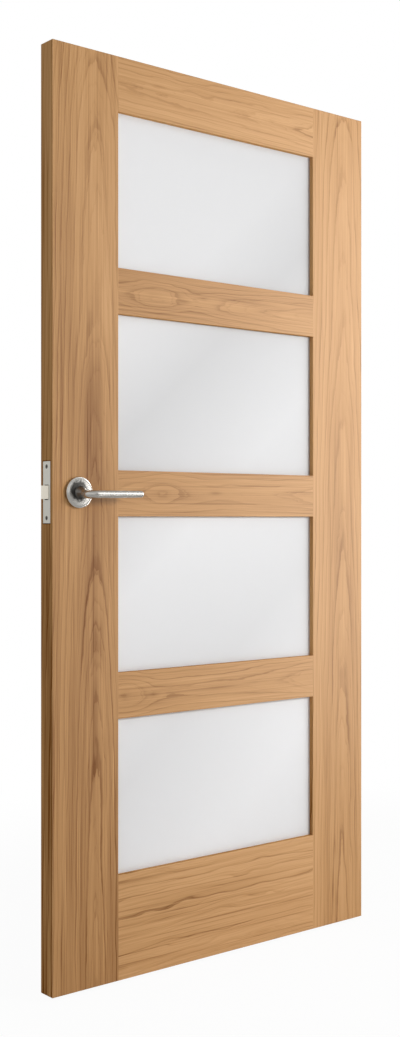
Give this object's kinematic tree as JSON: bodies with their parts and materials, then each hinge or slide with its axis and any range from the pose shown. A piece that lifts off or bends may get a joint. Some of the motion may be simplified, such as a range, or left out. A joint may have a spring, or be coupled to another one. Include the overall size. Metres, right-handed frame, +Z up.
{
  "type": "glazed interior door",
  "caption": "Oak interior door leaf with obscured glass panes between flat rails, lever handles on round roses, a sprung latch and butt hinges that screw to a jamb.",
  "frame": {"origin": "on the jamb-side face of the bottom hinge's frame leaf, at the hinge's middle height and at mid thickness of the door", "axes": "+X out of that face into the jamb, +Y from the push face to the pull face of the door, +Z up"},
  "size_m": [0.931, 0.1572, 1.981],
  "materials": {
    "oak": "satin lacquer",
    "obscured_glass": "etched",
    "satin_nickel": "satin nickel plate",
    "latch_steel": "brushed",
    "hinge_steel": "brushed"
  },
  "bodies": {
    "jamb_hinges": {"bottom_hinge_frame_leaf": "hinge_steel", "middle_hinge_frame_leaf": "hinge_steel", "top_hinge_frame_leaf": "hinge_steel", "bottom_hinge_pin": "hinge_steel", "middle_hinge_pin": "hinge_steel", "top_hinge_pin": "hinge_steel"},
    "door_leaf": {"lock_stile": "oak", "hinge_stile": "oak", "top_rail": "oak", "middle_rail_1": "oak", "middle_rail_2": "oak", "middle_rail_3": "oak", "bottom_rail": "oak", "glass_pane_1": "obscured_glass", "glass_pane_2": "obscured_glass", "glass_pane_3": "obscured_glass", "glass_pane_4": "obscured_glass", "glazing_beads_1": "oak", "glazing_beads_2": "oak", "glazing_beads_3": "oak", "glazing_beads_4": "oak", "bottom_hinge_door_leaf": "hinge_steel", "middle_hinge_door_leaf": "hinge_steel", "top_hinge_door_leaf": "hinge_steel", "bottom_hinge_screws": "hinge_steel", "middle_hinge_screws": "hinge_steel", "top_hinge_screws": "hinge_steel", "latch_forend": "latch_steel", "latch_case": "latch_steel", "forend_screws": "latch_steel", "front_rose": "satin_nickel", "back_rose": "satin_nickel"},
    "lever_set": {"front_lever": "satin_nickel", "back_lever": "satin_nickel", "spindle": "latch_steel"},
    "sprung_bolt": {"latch_bolt": "latch_steel"}
  },
  "joints": [
    {"name": "door_swing", "type": "hinge", "parent": "jamb_hinges", "child": "door_leaf", "pos_m": [-0.0045, 0.0285, 0], "axis": [0, 0, -1], "range_deg": [0, 110]},
    {"name": "lever_turn", "type": "hinge", "parent": "door_leaf", "child": "lever_set", "pos_m": [-0.856, 0, 0.769], "axis": [0, 1, 0], "range_deg": [0, 45], "stiffness_Nm_per_rad": 1.2, "springref_deg": -34.38},
    {"name": "bolt_slide", "type": "slide", "parent": "door_leaf", "child": "sprung_bolt", "axis": [1, 0, 0], "range_m": [0, 0.009]}
  ],
  "couplings": [
    {"joint": "bolt_slide", "follows": "lever_turn", "m_per_rad": 0.0114}
  ]
}
